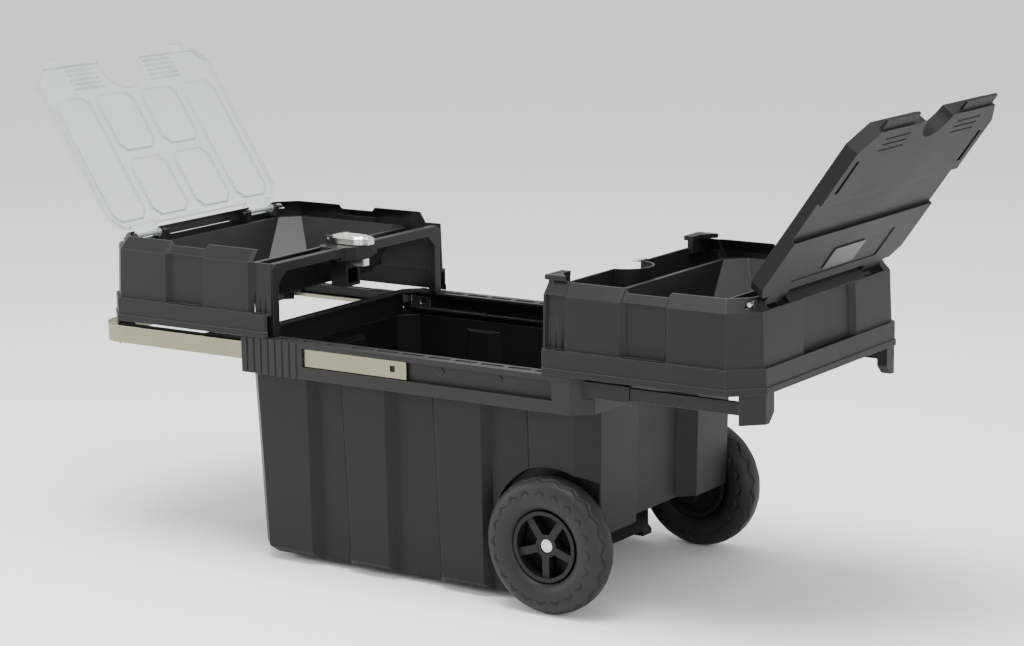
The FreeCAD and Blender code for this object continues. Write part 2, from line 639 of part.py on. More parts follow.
def make_left_shell():
    """Left tray: the shared moulding, cut down beside the frame over the chest mouth."""
    low_corner = box(TRAY_X0 - 5, TRAY_X0 + TRAY_INNER_BAY - 5, -SKIRT_HALF_W, SKIRT_HALF_W,
                     TRAY_FOLD_Z, TRAY_TOP_Z + 1)
    return flip_x(make_tray_shell().cut(low_corner))


def make_arch():
    """Frame across the open inner end of the left tray: two legs and a bar with a latch pad."""
    half = SKIRT_HALF_W - TRAY_STEP - TRAY_DRAFT - TRAY_BAY_DEPTH - WALL - 0.2
    low = SKIRT_Z0
    bar_z = ARCH_TOP_Z - ARCH_BAR_H
    outer = [(-half, low), (-half, ARCH_TOP_Z - 6), (-half + 6, ARCH_TOP_Z),
             (half - 6, ARCH_TOP_Z), (half, ARCH_TOP_Z - 6), (half, low)]
    leg = half - ARCH_LEG_W
    hole = [(-leg, low - 1), (-leg, bar_z - ARCH_CORNER), (-leg + ARCH_CORNER, bar_z),
            (leg - ARCH_CORNER, bar_z), (leg, bar_z - ARCH_CORNER), (leg, low - 1)]
    frame = plank(outer, TRAY_X0, TRAY_X0 + ARCH_T).cut(plank(hole, TRAY_X0 - 1, TRAY_X0 + ARCH_T + 1))
    pad = prism([(TRAY_X0 - 9, -20), (TRAY_X0 - 9, 20), (TRAY_X0, 30), (TRAY_X0, 40), (TRAY_X0 + 38, 40),
                 (TRAY_X0 + 45, 30), (TRAY_X0 + 45, -30), (TRAY_X0 + 38, -40), (TRAY_X0, -40),
                 (TRAY_X0, -30)],
                ARCH_TOP_Z - 6, ARCH_TOP_Z)
    apron = prism([(TRAY_X0 - 9, -20), (TRAY_X0 - 9, 20), (TRAY_X0, 30), (TRAY_X0, 40),
                   (TRAY_X0 + ARCH_T, 40),
                   (TRAY_X0 + ARCH_T, -40), (TRAY_X0, -40),
                   (TRAY_X0, -30)], bar_z - 6, ARCH_TOP_Z - 6)
    ears = [box(-LATCH_X - 5, -LATCH_X + 5, y, y + 5, ARCH_TOP_Z - 1, LATCH_Z + 4)
            for y in (-LATCH_W / 2 - 6, LATCH_W / 2 + 1)]
    frame = fuse([frame, pad, apron] + ears)
    return flip_x(frame.cut(rod(-LATCH_X, -40, 40, LATCH_Z, LATCH_PIN_R)))


# ---------------------------------------------------------------- bowls and divider
def bowl_ring(inset, floor):
    """Outline of a bowl: half way between a rectangle and an octagon at its floor."""
    shrink = BOWL_SLOPE if floor else 0.0
    x0 = TRAY_X0 + BOWL_X0 + inset + shrink * 0.3
    x1 = TRAY_X1 - BOWL_X1 - inset - shrink * 0.6
    half = BOWL_HALF_W - inset - shrink
    corner = (BOWL_CORNER if floor else TRAY_CORNER * 0.7) - inset * 0.6
    return [(x1, half - corner), (x1 - corner, half), (x0 + corner, half), (x0, half - corner),
            (x0, corner - half), (x0 + corner, -half), (x1 - corner, -half), (x1, corner - half)]


def make_bowl():
    """Open bowl that hangs in a tray by its flange."""
    outer = loft(bowl_ring(0.0, True), BOWL_Z, bowl_ring(0.0, False), BOWL_RIM_Z)
    inner = loft(bowl_ring(BOWL_WALL, True), BOWL_Z + BOWL_WALL,
                 bowl_ring(BOWL_WALL, False), BOWL_RIM_Z + 0.01)
    flange_ring = [(min(x, TRAY_X1 - FLANGE_X1), max(-FLANGE_HALF_W, min(FLANGE_HALF_W, y * 1.06)))
                   for x, y in bowl_ring(-4.0, False)]
    flange = prism(flange_ring, BOWL_RIM_Z - BOWL_WALL, BOWL_RIM_Z)
    return fuse([outer, flange]).cut(inner)


def make_divider():
    """Loose wall across the right bowl, standing in its floor."""
    x0 = TRAY_X1 - DIVIDER_FROM_END
    plan = box(x0, x0 + DIVIDER_T, -SKIRT_HALF_W, SKIRT_HALF_W,
               BOWL_Z + BOWL_WALL, BOWL_RIM_Z - 1.5)
    room = loft(bowl_ring(BOWL_WALL + 0.4, True), BOWL_Z + BOWL_WALL,
                bowl_ring(BOWL_WALL + 0.4, False), BOWL_RIM_Z)
    return plan.common(room)


# ---------------------------------------------------------------- lids
def lid_plan(half, heel, length, corner_heel, corner_free):
    """A lid's outline in plan for the +X tray, shut, from the pin towards the middle."""
    return [(PIN_X - heel, half - corner_heel), (PIN_X - heel - corner_heel, half),
            (PIN_X - length + corner_free, half), (PIN_X - length, half - corner_free),
            (PIN_X - length, corner_free - half), (PIN_X - length + corner_free, -half),
            (PIN_X - heel - corner_heel, -half), (PIN_X - heel, corner_heel - half)]


def lid_knuckles():
    """Barrels round both hinge pins and the arms that join them to the lid."""
    knuckles = []
    z0 = PIN_Z - KNUCKLE_R * 0.5
    barrel = rod(PIN_X, -KNUCKLE_Y[1], -KNUCKLE_Y[0], PIN_Z, KNUCKLE_R)
    arm = box(PIN_X - LID_HEEL - 3, PIN_X, -KNUCKLE_Y[1], -KNUCKLE_Y[0], z0, PIN_Z + KNUCKLE_R - 0.1)
    bore = rod(PIN_X, -KNUCKLE_Y[1] - 1, -KNUCKLE_Y[0] + 1, PIN_Z, PIN_R + FIT)
    return both_sides(barrel.fuse(arm).removeSplitter()), both_sides(bore)


def finger_cut(x_mid, radius, z0, z1):
    """The round cut-out in the middle of a lid's free edge."""
    return Part.makeCylinder(radius, z1 - z0, V(x_mid, 0, z0))


def lid_open(shape, angle):
    """Tip a lid drawn shut at the +X tray back by its opening angle."""
    return shape.rotate(V(PIN_X, 0, PIN_Z), V(0, 1, 0), angle)


def make_black_lid():
    """Hollow black lid: top plate, deep rim, lowered middle band, two snap tabs."""
    top = PIN_Z + LID_TOP
    low = top - BLACK_T
    plan = lid_plan(LID_HALF_W, LID_HEEL, LID_LEN, HEEL_CORNER, BLACK_CORNER)
    plan_in = lid_plan(LID_HALF_W - LID_WALL, LID_HEEL + LID_WALL, LID_LEN - LID_WALL,
                       HEEL_CORNER - 1, BLACK_CORNER - 1)
    body = prism(plan, low, top)
    x_free = PIN_X - LID_LEN
    tab = box(x_free - TAB_OUT, x_free + 6, -TAB_Y[1], -TAB_Y[0], top - 7, top - 3)
    band = box(PIN_X - BLACK_STEP[1], PIN_X - BLACK_STEP[0], -LID_HALF_W - 1, LID_HALF_W + 1,
               top - BLACK_STEP_D, top + 1)
    grooves = []
    for number in range(3):
        x = x_free + 12 + number * 9.0
        grooves += both_sides(box(x, x + 3, -TAB_Y[1] + 22, -TAB_Y[0], top - 1.2, top + 1))
    side_slot = box(x_free + 42, x_free + 92, -LID_HALF_W + 13, -LID_HALF_W + 23, top - 3, top + 1)
    badge_bed = box(PIN_X - LID_HEEL - 62, PIN_X - LID_HEEL - 14, -112, 112, top - 1.5, top + 1)
    body = fuse([body] + both_sides(tab))
    body = cut(body, [band, badge_bed] + grooves + both_sides(side_slot))
    rim_hollow = prism(plan_in, low - 1, top - BLACK_STEP_D - LID_WALL)
    cut_x = x_free - CUT_R * 0.25
    ring_wall = Part.makeCylinder(CUT_R + LID_WALL, BLACK_T, V(cut_x, 0, low))
    body = body.cut(rim_hollow.cut(ring_wall))
    body = body.cut(finger_cut(cut_x, CUT_R, low - 1, top + 1))
    knuckles, bores = lid_knuckles()
    body = cut(fuse([body] + knuckles), bores)
    return lid_open(body, BLACK_ANGLE)


def make_badge():
    """Blank plate set into the black lid's top."""
    top = PIN_Z + LID_TOP
    x1 = PIN_X - LID_HEEL - 20
    plate = box(x1 - 34, x1, -40, 40, top - 1.5, top + 0.3)
    upright = [e for e in plate.Edges if e.BoundBox.ZLength > 1]
    return lid_open(plate.makeFillet(3.0, upright), BLACK_ANGLE)


def clear_panels():
    """Plan boxes of the raised panels of the clear lid: two long ones and four short ones."""
    a = PIN_X - LID_HEEL - 12
    b = PIN_X - CLEAR_LEN + 52
    mid = (a + b) / 2
    long_panel = (b, a, 100.0, 168.0)
    short_free = (b, mid - 7, 10.0, 84.0)
    short_heel = (mid + 7, a, 10.0, 84.0)
    return [long_panel, short_free, short_heel]


def make_clear_lid():
    """Clear lid: thin plate with a lip round it, raised panels, two narrow tabs."""
    top = PIN_Z + LID_TOP
    plan = lid_plan(LID_HALF_W, LID_HEEL, CLEAR_LEN, CLEAR_CORNER, CLEAR_CORNER)
    plan_in = lid_plan(LID_HALF_W - CLEAR_T, LID_HEEL + CLEAR_T, CLEAR_LEN - CLEAR_T,
                       CLEAR_CORNER - 1, CLEAR_CORNER - 1)
    body = prism(plan, top - CLEAR_LIP, top)
    hollow = prism(plan_in, top - CLEAR_LIP - 1, top - CLEAR_T)
    x_free = PIN_X - CLEAR_LEN
    body = body.cut(hollow)
    panels = []
    for x0, x1, y0, y1 in clear_panels():
        x_mid = (x0 + x1) / 2
        y_mid = (y0 + y1) / 2
        outline = [(x, y - y_mid) for x, y in ring((x1 - x0) / 2, (y1 - y0) / 2, 12.0, x_mid)]
        outline = [(x, y + 2 * y_mid) for x, y in outline]
        panels += both_sides(prism(outline, top - CLEAR_T - 1.5, top - CLEAR_T + 0.1))
    tab = box(x_free - TAB_OUT, x_free + 6, -CLEAR_TAB_Y[1], -CLEAR_TAB_Y[0], top - CLEAR_T, top)
    body = fuse([body] + panels + both_sides(tab))
    body = body.cut(finger_cut(x_free, CLEAR_CUT_R, top - CLEAR_LIP - 1, top + 1))
    knuckles, bores = lid_knuckles()
    body = cut(fuse([body] + knuckles), bores)
    return flip_x(lid_open(body, CLEAR_ANGLE))


def make_hinge_pin():
    """Steel pin of the +X tray's near hinge."""
    return rod(PIN_X, -PIN_Y[1], -PIN_Y[0], PIN_Z, PIN_R)


# ---------------------------------------------------------------- latch
def make_latch_lever():
    """Die-cast lever: boat-shaped in plan, hinged at its outer end, nose over the bar."""
    x0 = LATCH_X - 5
    x1 = LATCH_X + LATCH_L
    half = LATCH_W / 2
    plan = [(x0, -half + 6), (x0 + 10, -half), (x1 - 18, -half), (x1 - 8, -half + 7), (x1, -half + 9),
            (x1, half - 9), (x1 - 8, half - 7), (x1 - 18, half), (x0 + 10, half), (x0, half - 6)]
    z0 = ARCH_TOP_Z + 1.0
    body = prism(plan, z0, z0 + LATCH_T)
    crown = [e for e in body.Edges if e.BoundBox.ZMin > z0 + LATCH_T - 0.1]
    body = body.makeChamfer(2.5, crown)
    well = Part.makeCylinder(LOCK_R + FIT, LATCH_T + 2, V(LATCH_X + 40, 0, z0 - 1))
    heel = slab([(x0 - 1, z0 - 1), (LATCH_X, z0 - 1), (x0 - 1, z0 + 4)], -half - 1, half + 1)
    return cut(body, [well, heel, rod(LATCH_X, -half - 1, half + 1, LATCH_Z, LATCH_PIN_R + FIT)])


def make_lock():
    """Key cylinder in the lever, with its keyway."""
    z0 = ARCH_TOP_Z + 2.0
    body = Part.makeCylinder(LOCK_R, LATCH_T - 1.5, V(LATCH_X + 40, 0, z0))
    keyway = box(LATCH_X + 39.2, LATCH_X + 40.8, -3, 3, z0 + LATCH_T - 5, z0 + LATCH_T)
    return body.cut(keyway)


def make_latch_housing():
    """Post under the bar that guides the latch bolt, fixed to the left frame."""
    x0 = -TRAY_X0 - ARCH_T - 26
    body = box(x0, x0 + 26, -16, 16, HOUSING_Z, ARCH_TOP_Z - 6.0)
    pocket = box(x0 + 4, x0 + 27, -11, 11, HOUSING_Z + 4, ARCH_TOP_Z - 34)
    return body.cut(pocket)


def make_bolt():
    """Zinc hook below the lever that catches the right tray's keeper."""
    x0 = -TRAY_X0 - ARCH_T
    x1 = -TRAY_X0 + ARCH_T
    top = ARCH_TOP_Z - 19.5
    outline = [(x0, top - 10), (x1, top - 10), (x1, top), (x1 - 4, top), (x1 - 4, top - 6), (x0, top - 6)]
    return slab(outline, -6, 6)


def make_keeper():
    """Steel keeper plate over the bowed pocket of the right tray's inner wall."""
    plate = box(TRAY_X0 - 6, TRAY_X0 + WALL, BOW_R * 0.6, BOW_R * 1.25, INNER_WALL_Z, INNER_WALL_Z + 2)
    return plate


# ---------------------------------------------------------------- wheels and axle
def make_tyre():
    """Blow-moulded tyre of the near wheel: flat sides, rounded shoulders."""
    half = TYRE_W / 2
    tread = half - 7.0
    shoulder = WHEEL_R - 12.0
    points = [(TYRE_SEAT_R, -half + 3), (TYRE_SEAT_R + 5, -half), (shoulder - 6, -half)]
    line = [V(x, y, 0) for x, y in points]
    other = [V(x, -y, 0) for x, y in reversed(points)]
    side = Part.Arc(V(shoulder - 6, -half, 0), V(WHEEL_R - 5, -half + 4.5, 0),
                    V(WHEEL_R - 0.8, -tread, 0)).toShape()
    crown = Part.Arc(V(WHEEL_R - 0.8, -tread, 0), V(WHEEL_R, 0, 0), V(WHEEL_R - 0.8, tread, 0)).toShape()
    far = Part.Arc(V(WHEEL_R - 0.8, tread, 0), V(WHEEL_R - 5, half - 4.5, 0),
                   V(shoulder - 6, half, 0)).toShape()
    edges = [Part.LineSegment(line[0], line[1]).toShape(), Part.LineSegment(line[1], line[2]).toShape(),
             side, crown, far, Part.LineSegment(other[0], other[1]).toShape(),
             Part.LineSegment(other[1], other[2]).toShape(), Part.LineSegment(other[2], line[0]).toShape()]
    face = Part.Face(Part.Wire(edges))
    tyre = face.revolve(V(0, 0, 0), V(0, 1, 0), 360)
    return tyre.translate(V(WHEEL_X, -WHEEL_Y, WHEEL_R))


def make_hub():
    """Near wheel's centre: rim ring, five spokes and a bored boss."""
    y0 = -WHEEL_Y - TYRE_W / 2 + 6
    y1 = -WHEEL_Y + TYRE_W / 2 - 3
    rim = rod(WHEEL_X, y0 + 1, y1, WHEEL_R, TYRE_SEAT_R)
    rim = rim.cut(rod(WHEEL_X, y0, y1 + 1, WHEEL_R, TYRE_SEAT_R - 5))
    boss = rod(WHEEL_X, -AXLE_HALF - 1.5, -WELL_Y - 1.0, WHEEL_R, HUB_R)
    pieces = [rim, boss]
    spoke = box(WHEEL_X + HUB_R - 2, WHEEL_X + TYRE_SEAT_R - 3, y0 + 5, y1 - 8,
                WHEEL_R - SPOKE_W / 2, WHEEL_R + SPOKE_W / 2)
    for number in range(SPOKES):
        pieces.append(spoke.rotated(V(WHEEL_X, 0, WHEEL_R), V(0, 1, 0), 90 + number * 360 / SPOKES))
    disc = rod(WHEEL_X, y1 - 10, y1 - 7, WHEEL_R, TYRE_SEAT_R - 3)
    pieces.append(disc)
    hub = fuse(pieces)
    counterbore = rod(WHEEL_X, -AXLE_HALF - 2, -AXLE_HALF + NUT_T + 3, WHEEL_R, HUB_BORE_R)
    return cut(hub, [counterbore, rod(WHEEL_X, -AXLE_HALF - 5, 0, WHEEL_R, AXLE_R + FIT)])


def make_push_nut():
    """Domed push nut on the near axle end."""
    cap = rod(WHEEL_X, -AXLE_HALF, -AXLE_HALF + NUT_T, WHEEL_R, HUB_BORE_R - 1.0)
    return cap.cut(rod(WHEEL_X, -AXLE_HALF - 1, -AXLE_HALF + NUT_T + 1, WHEEL_R, AXLE_R))


# ---------------------------------------------------------------- write the pieces
save(make_bin(), "bin")
save(make_skids(), "skid_feet")
save(make_rim(), "rim_frame")

fixed = channel(-FIXED_HALF, FIXED_HALF, RAIL_D, RAIL_H, RAIL_T, -WEB_Y).cut(screw_holes())
fixed = fixed.common(prism(ring(RIM_HALF_L, RIM_HALF_W, RIM_CORNER), RIM_Z0, RIM_Z1))
save(fixed, "fixed_rail_near")
save(flip_y(fixed), "fixed_rail_far")
save(make_rail_screws(), "rail_screws")

near_pieces = (("mid_rail", make_mid_rail()), ("inner_rail", make_inner_rail()),
               ("rail_tip", make_rail_tip()), ("hinge_pin", make_hinge_pin()))
for name, near in near_pieces:
    save(near, "right_" + name + "_near")
    save(flip_y(near), "right_" + name + "_far")
    save(flip_x(near), "left_" + name + "_near")
    save(flip_x(flip_y(near)), "left_" + name + "_far")

save(make_handle(), "pull_handle")
stop = make_handle_stop()
save(stop, "handle_stop_near")
save(flip_y(stop), "handle_stop_far")

save(make_right_shell(), "right_tray_shell")
save(make_left_shell(), "left_tray_shell")
save(make_arch(), "left_tray_arch")
bowl = make_bowl()
save(bowl, "right_bowl")
save(flip_x(bowl), "left_bowl")
save(make_divider(), "right_divider")

save(make_black_lid(), "black_lid")
save(make_badge(), "badge_plate")
save(make_clear_lid(), "clear_lid")

save(make_latch_lever(), "latch_lever")
save(rod(LATCH_X, -LATCH_W / 2 - 6, LATCH_W / 2 + 6, LATCH_Z, LATCH_PIN_R), "latch_pin")
save(make_lock(), "lock_cylinder")
save(make_latch_housing(), "latch_housing")
save(make_bolt(), "latch_hook")
save(make_keeper(), "latch_keeper")

save(rod(WHEEL_X, -AXLE_HALF, AXLE_HALF, WHEEL_R, AXLE_R), "axle")
for name, near in (("tyre", make_tyre()), ("wheel_hub", make_hub()), ("push_nut", make_push_nut())):
    save(near, name + "_near")
    save(flip_y(near), name + "_far")
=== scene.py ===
import bpy
import math
import numpy as np
from mathutils import Matrix, Vector


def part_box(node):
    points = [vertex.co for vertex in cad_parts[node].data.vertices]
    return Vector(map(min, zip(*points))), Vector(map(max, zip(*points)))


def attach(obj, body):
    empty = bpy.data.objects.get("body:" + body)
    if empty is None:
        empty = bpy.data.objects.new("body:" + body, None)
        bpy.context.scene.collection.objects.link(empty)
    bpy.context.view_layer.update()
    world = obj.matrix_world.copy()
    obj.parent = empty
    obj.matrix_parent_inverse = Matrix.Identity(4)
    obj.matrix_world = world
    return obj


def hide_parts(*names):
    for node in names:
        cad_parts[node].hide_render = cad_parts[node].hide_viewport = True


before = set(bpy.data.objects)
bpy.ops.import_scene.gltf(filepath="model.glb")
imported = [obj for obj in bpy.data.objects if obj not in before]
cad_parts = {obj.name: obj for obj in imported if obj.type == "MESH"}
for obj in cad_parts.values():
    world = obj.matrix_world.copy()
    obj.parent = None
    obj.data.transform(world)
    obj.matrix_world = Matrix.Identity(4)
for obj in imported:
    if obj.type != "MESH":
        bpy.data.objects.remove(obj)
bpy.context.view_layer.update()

# ---------------------------------------------------------------- bin
# The deep lower shell is one injection moulding in charcoal polypropylene with a fine
# spark-eroded grain.  Its ribs and columns are moulded in, and its edges are painted lighter, as wear and as
# a painted highlight.
CHARCOAL = (0.0062, 0.0060, 0.0059, 1.0)
# The lighter charcoal on the edges is partly wear and partly a painted highlight.
CHARCOAL_WEAR_AND_HIGHLIGHT = (0.036, 0.035, 0.034, 1.0)


def new_group(name, inputs, outputs):
    """An empty shader group with float inputs (name: default) and typed outputs (name: type)."""
    group = bpy.data.node_groups.new(name, "ShaderNodeTree")
    for label, value in inputs.items():
        socket = group.interface.new_socket(name=label, in_out="INPUT", socket_type="NodeSocketFloat")
        socket.default_value = value
    for label, kind in outputs.items():
        group.interface.new_socket(name=label, in_out="OUTPUT", socket_type=kind)
    return group, group.nodes.new("NodeGroupInput"), group.nodes.new("NodeGroupOutput")


def maths(tree, operation, first, second=None, clamp=False):
    """One Math node; each operand is a socket or a number."""
    node = tree.nodes.new("ShaderNodeMath")
    node.operation = operation
    node.use_clamp = clamp
    for index, operand in enumerate((first, second)):
        if operand is None:
            continue
        if isinstance(operand, (int, float)):
            node.inputs[index].default_value = operand
        else:
            tree.links.new(operand, node.inputs[index])
    return node.outputs[0]


def noise(tree, vector, scale, detail=3.0, roughness=0.55):
    """One Noise texture's value; scale is a number or a socket."""
    node = tree.nodes.new("ShaderNodeTexNoise")
    node.inputs["Detail"].default_value = detail
    node.inputs["Roughness"].default_value = roughness
    tree.links.new(vector, node.inputs["Vector"])
    if isinstance(scale, (int, float)):
        node.inputs["Scale"].default_value = scale
    else:
        tree.links.new(scale, node.inputs["Scale"])
    return node.outputs[0]


def build_grain():
    """Moulded grain: small pebbles of the given size, with broad soft clouds."""
    group, given, out = new_group("moulded_grain", {"Grain": 1300.0, "Cloud": 9.0},
                                  {"Height": "NodeSocketFloat", "Cloud": "NodeSocketFloat"})
    place = group.nodes.new("ShaderNodeTexCoord").outputs["Object"]
    pebble = noise(group, place, given.outputs["Grain"], 2.0)
    cloud = noise(group, place, given.outputs["Cloud"], 4.0)
    group.links.new(pebble, out.inputs["Height"])
    group.links.new(cloud, out.inputs["Cloud"])
    return group


def build_edge():
    """Edge mask for wear and a painted edge highlight: how far the rounded normal leans from the flat one,
    broken up by noise.
    """
    group, given, out = new_group("edge_wear_and_highlight", {"Amount": 6.0, "Radius": 0.0011},
                                  {"Mask": "NodeSocketFloat", "Normal": "NodeSocketVector"})
    bevel = group.nodes.new("ShaderNodeBevel")
    bevel.samples = 6
    group.links.new(given.outputs["Radius"], bevel.inputs["Radius"])
    flat = group.nodes.new("ShaderNodeNewGeometry")
    dot = group.nodes.new("ShaderNodeVectorMath")
    dot.operation = "DOT_PRODUCT"
    group.links.new(bevel.outputs["Normal"], dot.inputs[0])
    group.links.new(flat.outputs["Normal"], dot.inputs[1])
    lean = maths(group, "SUBTRACT", 1.0, dot.outputs["Value"])
    place = group.nodes.new("ShaderNodeTexCoord").outputs["Object"]
    patch = maths(group, "ADD", noise(group, place, 60.0), 0.2)
    wear_and_highlight = maths(group, "MULTIPLY", lean, given.outputs["Amount"])
    mask = maths(group, "MULTIPLY", wear_and_highlight, patch, clamp=True)
    group.links.new(mask, out.inputs["Mask"])
    group.links.new(bevel.outputs["Normal"], out.inputs["Normal"])
    return group


GRAIN = build_grain()
EDGE = build_edge()


def moulded(name, colour, wear_and_highlight, rough=0.5, grain=1300.0, depth=0.00012, wear_and_highlight_strength=6.0, spread=0.14):
    """A moulded finish: grain in the bump, clouds in tone and roughness, edges painted lighter as wear and as
    a painted highlight.
    """
    material = bpy.data.materials.new(name)
    material.use_nodes = True
    tree = material.node_tree
    shader = tree.nodes["Principled BSDF"]
    shader.inputs["Specular IOR Level"].default_value = 0.19
    grainy = tree.nodes.new("ShaderNodeGroup")
    grainy.node_tree = GRAIN
    grainy.inputs["Grain"].default_value = grain
    edge = tree.nodes.new("ShaderNodeGroup")
    edge.node_tree = EDGE
    edge.inputs["Amount"].default_value = wear_and_highlight_strength
    tone = tree.nodes.new("ShaderNodeMix")
    tone.data_type = "RGBA"
    tone.inputs[6].default_value = colour
    tone.inputs[7].default_value = [c * 1.35 for c in colour[:3]] + [1.0]
    tree.links.new(grainy.outputs["Cloud"], tone.inputs[0])
    # Lighter colour on the edge mask: partly wear, partly a painted highlight.
    wear_and_highlight_mix = tree.nodes.new("ShaderNodeMix")
    wear_and_highlight_mix.data_type = "RGBA"
    wear_and_highlight_mix.inputs[7].default_value = wear_and_highlight
    tree.links.new(edge.outputs["Mask"], wear_and_highlight_mix.inputs[0])
    tree.links.new(tone.outputs[2], wear_and_highlight_mix.inputs[6])
    tree.links.new(wear_and_highlight_mix.outputs[2], shader.inputs["Base Color"])
    sheen = maths(tree, "MULTIPLY", grainy.outputs["Cloud"], spread)
    tree.links.new(maths(tree, "ADD", sheen, rough - spread / 2), shader.inputs["Roughness"])
    bump = tree.nodes.new("ShaderNodeBump")
    bump.inputs["Strength"].default_value = 0.8
    bump.inputs["Distance"].default_value = depth
    tree.links.new(grainy.outputs["Height"], bump.inputs["Height"])
    tree.links.new(edge.outputs["Normal"], bump.inputs["Normal"])
    tree.links.new(bump.outputs["Normal"], shader.inputs["Normal"])
    return material


def dress(material, *nodes):
    """Gives CAD pieces their finish."""
    for node in nodes:
        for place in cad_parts[node].material_slots:
            place.material = material


bin_plastic = moulded("bin_plastic", CHARCOAL, CHARCOAL_WEAR_AND_HIGHLIGHT, rough=0.47)
dress(bin_plastic, "bin")

# ---------------------------------------------------------------- skids
# Two moulded rubber blocks under the end away from the wheels.  They are dusty on
# their sides, and their corners are painted lighter, as wear and as a painted highlight.
skid_rubber = moulded("skid_rubber", (0.02, 0.02, 0.02, 1.0), (0.06, 0.06, 0.058, 1.0),
                      rough=0.75, grain=700.0, depth=0.0002)
dress(skid_rubber, "skid_feet")

# ---------------------------------------------------------------- collar
# The collar is a second moulding welded over the bin's top edge.  It is a little
# glossier than the bin on its flat top, and carries the slides and the handle.
collar_plastic = moulded("collar_plastic", (0.0130, 0.0125, 0.0122, 1.0), CHARCOAL_WEAR_AND_HIGHLIGHT, rough=0.43)
dress(collar_plastic, "rim_frame")

# ---------------------------------------------------------------- slides
# Three-part telescopic slides in cold-rolled steel with a black coating, painted
# bright along their edges as wear and as a painted highlight, with zinc ends and pan-head screws.
rail_coat = moulded("rail_coat", (0.0085, 0.0085, 0.0090, 1.0), (0.12, 0.12, 0.12, 1.0),
                    rough=0.36, grain=2200.0, depth=0.00004, wear_and_highlight_strength=3.0)
rails = [end + "_" + member + "_rail_" + side for end in ("left", "right")
         for member in ("mid", "inner") for side in ("near", "far")]
dress(rail_coat, "fixed_rail_near", "fixed_rail_far", *rails)


def metal(name, colour, rough, stretch, depth, cast=0.12):
    """Bare metal: noise stretched along X for drawn or brushed stock, plain for castings."""
    material = bpy.data.materials.new(name)
    material.use_nodes = True
    tree = material.node_tree
    shader = tree.nodes["Principled BSDF"]
    shader.inputs["Metallic"].default_value = 1.0
    place = tree.nodes.new("ShaderNodeTexCoord").outputs["Object"]
    mapping = tree.nodes.new("ShaderNodeMapping")
    mapping.inputs["Scale"].default_value = stretch
    tree.links.new(place, mapping.inputs["Vector"])
    streak = noise(tree, mapping.outputs["Vector"], 400.0, 4.0, 0.7)
    cloud = noise(tree, place, 22.0, 4.0)
    tint = tree.nodes.new("ShaderNodeMix")
    tint.data_type = "RGBA"
    tint.inputs[6].default_value = [c * 0.72 for c in colour] + [1.0]
    tint.inputs[7].default_value = list(colour) + [1.0]
    drawn = maths(tree, "MULTIPLY", streak, 0.6)
    patchy = maths(tree, "MULTIPLY", cloud, 0.5)
    tree.links.new(maths(tree, "ADD", drawn, patchy), tint.inputs[0])
    tree.links.new(tint.outputs[2], shader.inputs["Base Color"])
    tree.links.new(maths(tree, "ADD", maths(tree, "MULTIPLY", streak, cast * 2), rough - cast),
                   shader.inputs["Roughness"])
    edge = tree.nodes.new("ShaderNodeGroup")
    edge.node_tree = EDGE
    bump = tree.nodes.new("ShaderNodeBump")
    bump.inputs["Strength"].default_value = 0.6
    bump.inputs["Distance"].default_value = depth
    tree.links.new(streak, bump.inputs["Height"])
    tree.links.new(edge.outputs["Normal"], bump.inputs["Normal"])
    tree.links.new(bump.outputs["Normal"], shader.inputs["Normal"])
    return material


zinc_cast = metal("zinc_cast", (0.74, 0.74, 0.72), 0.30, (1.0, 1.0, 1.0), 0.00008)
dress(zinc_cast, *[end + "_rail_tip_" + side for end in ("left", "right") for side in ("near", "far")])
bright_steel = metal("bright_steel", (0.60, 0.59, 0.57), 0.33, (1.0, 0.05, 1.0), 0.00004)
dress(rail_coat, "rail_screws")

# ---------------------------------------------------------------- pull handle
# The handle is one flat band bent into a long U and brushed lengthwise, with a
# champagne coat.  Nylon blocks are riveted behind its ends.
band_coat = metal("band_coat", (0.26, 0.26, 0.17), 0.27, (0.03, 0.03, 1.0), 0.00004, 0.07)
dress(band_coat, "pull_handle")
stop_nylon = moulded("stop_nylon", (0.010, 0.010, 0.010, 1.0), (0.04, 0.04, 0.04, 1.0), 0.5)
dress(stop_nylon, "handle_stop_near", "handle_stop_far")

# ---------------------------------------------------------------- trays
# Both trays are moulded in the same grained polypropylene as the bin.  Their walls
# lean, so their upper faces catch more light, and their edges are painted lighter, as wear and as a painted
# highlight.
tray_plastic = moulded("tray_plastic", (0.0085, 0.0082, 0.0080, 1.0), (0.060, 0.058, 0.056, 1.0), 0.45)
dress(tray_plastic, "left_tray_shell", "right_tray_shell", "left_tray_arch")

# ---------------------------------------------------------------- bowls
# The loose trays that drop in are thinner and smoother, and shine more inside.
bowl_plastic = moulded("bowl_plastic", (0.0095, 0.0092, 0.0090, 1.0), (0.045, 0.044, 0.043, 1.0),
                       rough=0.38, grain=1700.0, depth=0.00007)
dress(bowl_plastic, "left_bowl", "right_bowl", "right_divider")

# ---------------------------------------------------------------- lids
# The black lid is moulded with a coarse grain and thumb ridges, and the clear lid
# in polycarbonate.  Both swing on steel pins in the trays' end walls.
# Its edges are painted lighter, as wear and as a painted highlight.
lid_plastic = moulded("lid_plastic", (0.0040, 0.0039, 0.0038, 1.0), (0.050, 0.049, 0.048, 1.0),
                      rough=0.56, grain=1000.0, depth=0.00016)
dress(lid_plastic, "black_lid")
badge_satin = moulded("badge_satin", (0.012, 0.012, 0.012, 1.0), (0.10, 0.10, 0.10, 1.0),
                      rough=0.34, grain=2400.0, depth=0.00003)
dress(badge_satin, "badge_plate")


